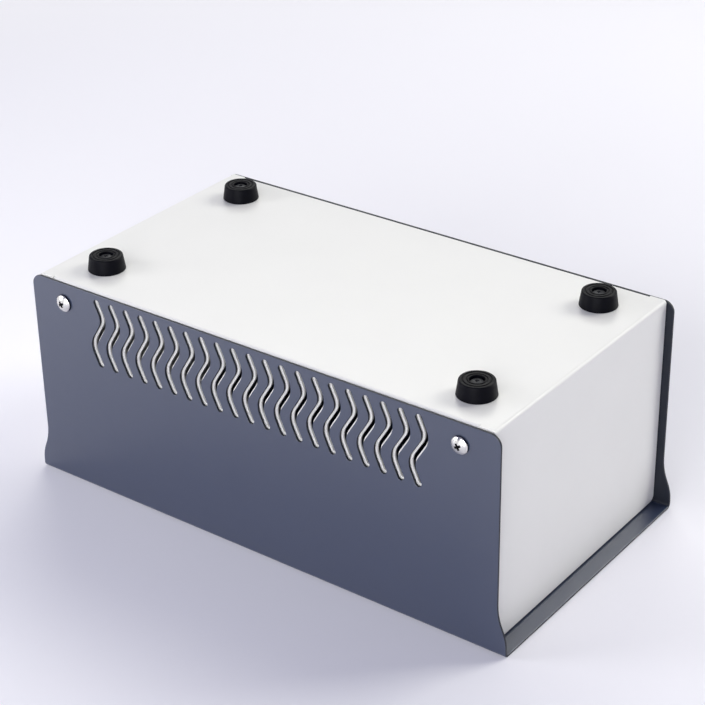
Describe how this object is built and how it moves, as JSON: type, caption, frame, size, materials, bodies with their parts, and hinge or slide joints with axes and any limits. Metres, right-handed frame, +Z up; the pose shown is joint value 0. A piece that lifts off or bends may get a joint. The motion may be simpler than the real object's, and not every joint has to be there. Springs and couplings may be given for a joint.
{
  "type": "metal enclosure box",
  "caption": "Two-piece folded sheet-metal enclosure with a white base tray on rubber feet, and a blue-grey screwed cover with wave-shaped vents and flared ends.",
  "frame": {"origin": "middle of the roof's outer face, which is on the ground: the box lies turned over", "axes": "+Z up, from the roof to the feet; +X along the box, towards the front panel; +Y across it"},
  "size_m": [0.228, 0.126, 0.0976],
  "materials": {
    "white_paint": "semi-gloss powder coat with a faint orange peel",
    "blue_grey_paint": "satin powder coat with a fine texture",
    "black_rubber": "matt moulded rubber",
    "nickel": "bright nickel plate",
    "zinc": "zinc-plated steel",
    "black_steel": "blackened steel"
  },
  "bodies": {
    "root": {"base_tray": "white_paint", "cover": "blue_grey_paint", "foot_front_left": "black_rubber", "foot_front_right": "black_rubber", "foot_rear_left": "black_rubber", "foot_rear_right": "black_rubber", "cover_screws": "nickel", "clinch_nuts": "zinc", "foot_screws": "black_steel", "foot_nuts": "zinc"}
  },
  "joints": []
}
